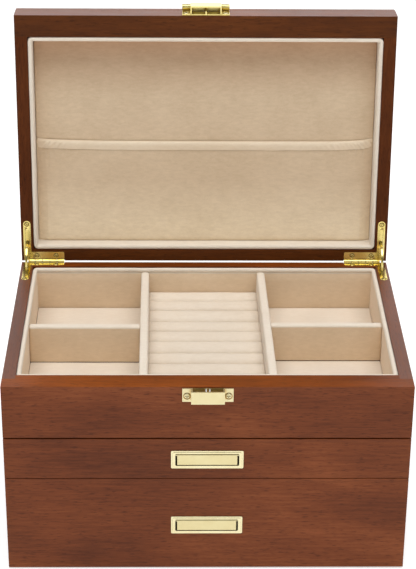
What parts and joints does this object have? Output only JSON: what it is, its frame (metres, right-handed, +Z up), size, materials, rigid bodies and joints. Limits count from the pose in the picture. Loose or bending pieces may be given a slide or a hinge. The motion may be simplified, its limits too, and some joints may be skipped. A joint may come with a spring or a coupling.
{
  "type": "jewelry box",
  "caption": "Wooden jewelry box: a suede-lined tray with ring rolls under a lid on quadrant hinges, over two drawers with brass flush pulls and a snap catch.",
  "frame": {"origin": "centre of the base's underside, between the side faces and between the front and back faces, on the table plane", "axes": "+X to the right seen from the front, +Y towards the hinges at the back, +Z up"},
  "size_m": [0.3, 0.2544, 0.3728],
  "materials": {
    "walnut": "satin lacquered walnut veneer",
    "suede": "cream suede cloth",
    "brass": "polished, light gold",
    "steel": "bright spring steel",
    "felt": "dark felt"
  },
  "bodies": {
    "case": {"base_felt": "felt", "bottom_board": "walnut", "left_side": "walnut", "right_side": "walnut", "back_panel": "walnut", "front_rail": "walnut", "drawer_shelf": "walnut", "tray_board": "walnut", "tray_liner": "suede", "left_divider": "suede", "right_divider": "suede", "left_cross_divider": "suede", "right_cross_divider": "suede", "ring_rolls": "suede", "left_hinge_case_leaf": "brass", "right_hinge_case_leaf": "brass", "hinge_pins": "brass", "case_hinge_screws": "brass", "catch_plate": "brass", "catch_spring": "steel", "catch_screws": "brass"},
    "lid": {"lid_panel": "walnut", "lid_front_rail": "walnut", "lid_back_rail": "walnut", "lid_left_rail": "walnut", "lid_right_rail": "walnut", "lid_liner": "suede", "lid_pocket": "suede", "left_hinge_lid_leaf": "brass", "right_hinge_lid_leaf": "brass", "lid_hinge_screws": "brass", "hasp_plate": "brass", "hasp_pin": "brass", "hasp_screws": "brass"},
    "hasp": {"hasp": "brass"},
    "stays": {"left_stay": "brass", "right_stay": "brass"},
    "upper_drawer": {"upper_drawer_front": "walnut", "upper_drawer_left_side": "walnut", "upper_drawer_right_side": "walnut", "upper_drawer_back": "walnut", "upper_drawer_bottom": "walnut", "upper_drawer_liner": "suede", "upper_pull_frame": "brass", "upper_pull_pin": "brass"},
    "upper_pull": {"upper_pull_flap": "brass"},
    "lower_drawer": {"lower_drawer_front": "walnut", "lower_drawer_left_side": "walnut", "lower_drawer_right_side": "walnut", "lower_drawer_back": "walnut", "lower_drawer_bottom": "walnut", "lower_drawer_liner": "suede", "lower_pull_frame": "brass", "lower_pull_pin": "brass"},
    "lower_pull": {"lower_pull_flap": "brass"}
  },
  "joints": [
    {"name": "lid_hinge", "type": "hinge", "parent": "case", "child": "lid", "pos_m": [0, 0.1037, 0.15925], "axis": [1, 0, 0], "range_deg": [0, 94]},
    {"name": "stay_swing", "type": "hinge", "parent": "case", "child": "stays", "pos_m": [0, 0.1037, 0.15925], "axis": [1, 0, 0], "range_deg": [0, 47]},
    {"name": "hasp_swing", "type": "hinge", "parent": "lid", "child": "hasp", "pos_m": [0, 0.13298, 0.36792], "axis": [-1, 0, 0], "range_deg": [0, 90]},
    {"name": "upper_drawer_slide", "type": "slide", "parent": "case", "child": "upper_drawer", "axis": [0, -1, 0], "range_m": [0, 0.15]},
    {"name": "upper_pull_swing", "type": "hinge", "parent": "upper_drawer", "child": "upper_pull", "pos_m": [0, -0.10255, 0.1009], "axis": [-1, 0, 0], "range_deg": [0, 85]},
    {"name": "lower_drawer_slide", "type": "slide", "parent": "case", "child": "lower_drawer", "axis": [0, -1, 0], "range_m": [0, 0.15]},
    {"name": "lower_pull_swing", "type": "hinge", "parent": "lower_drawer", "child": "lower_pull", "pos_m": [0, -0.10255, 0.0432], "axis": [-1, 0, 0], "range_deg": [0, 85]}
  ],
  "couplings": [
    {"joint": "stay_swing", "follows": "lid_hinge", "ratio": 0.5}
  ]
}
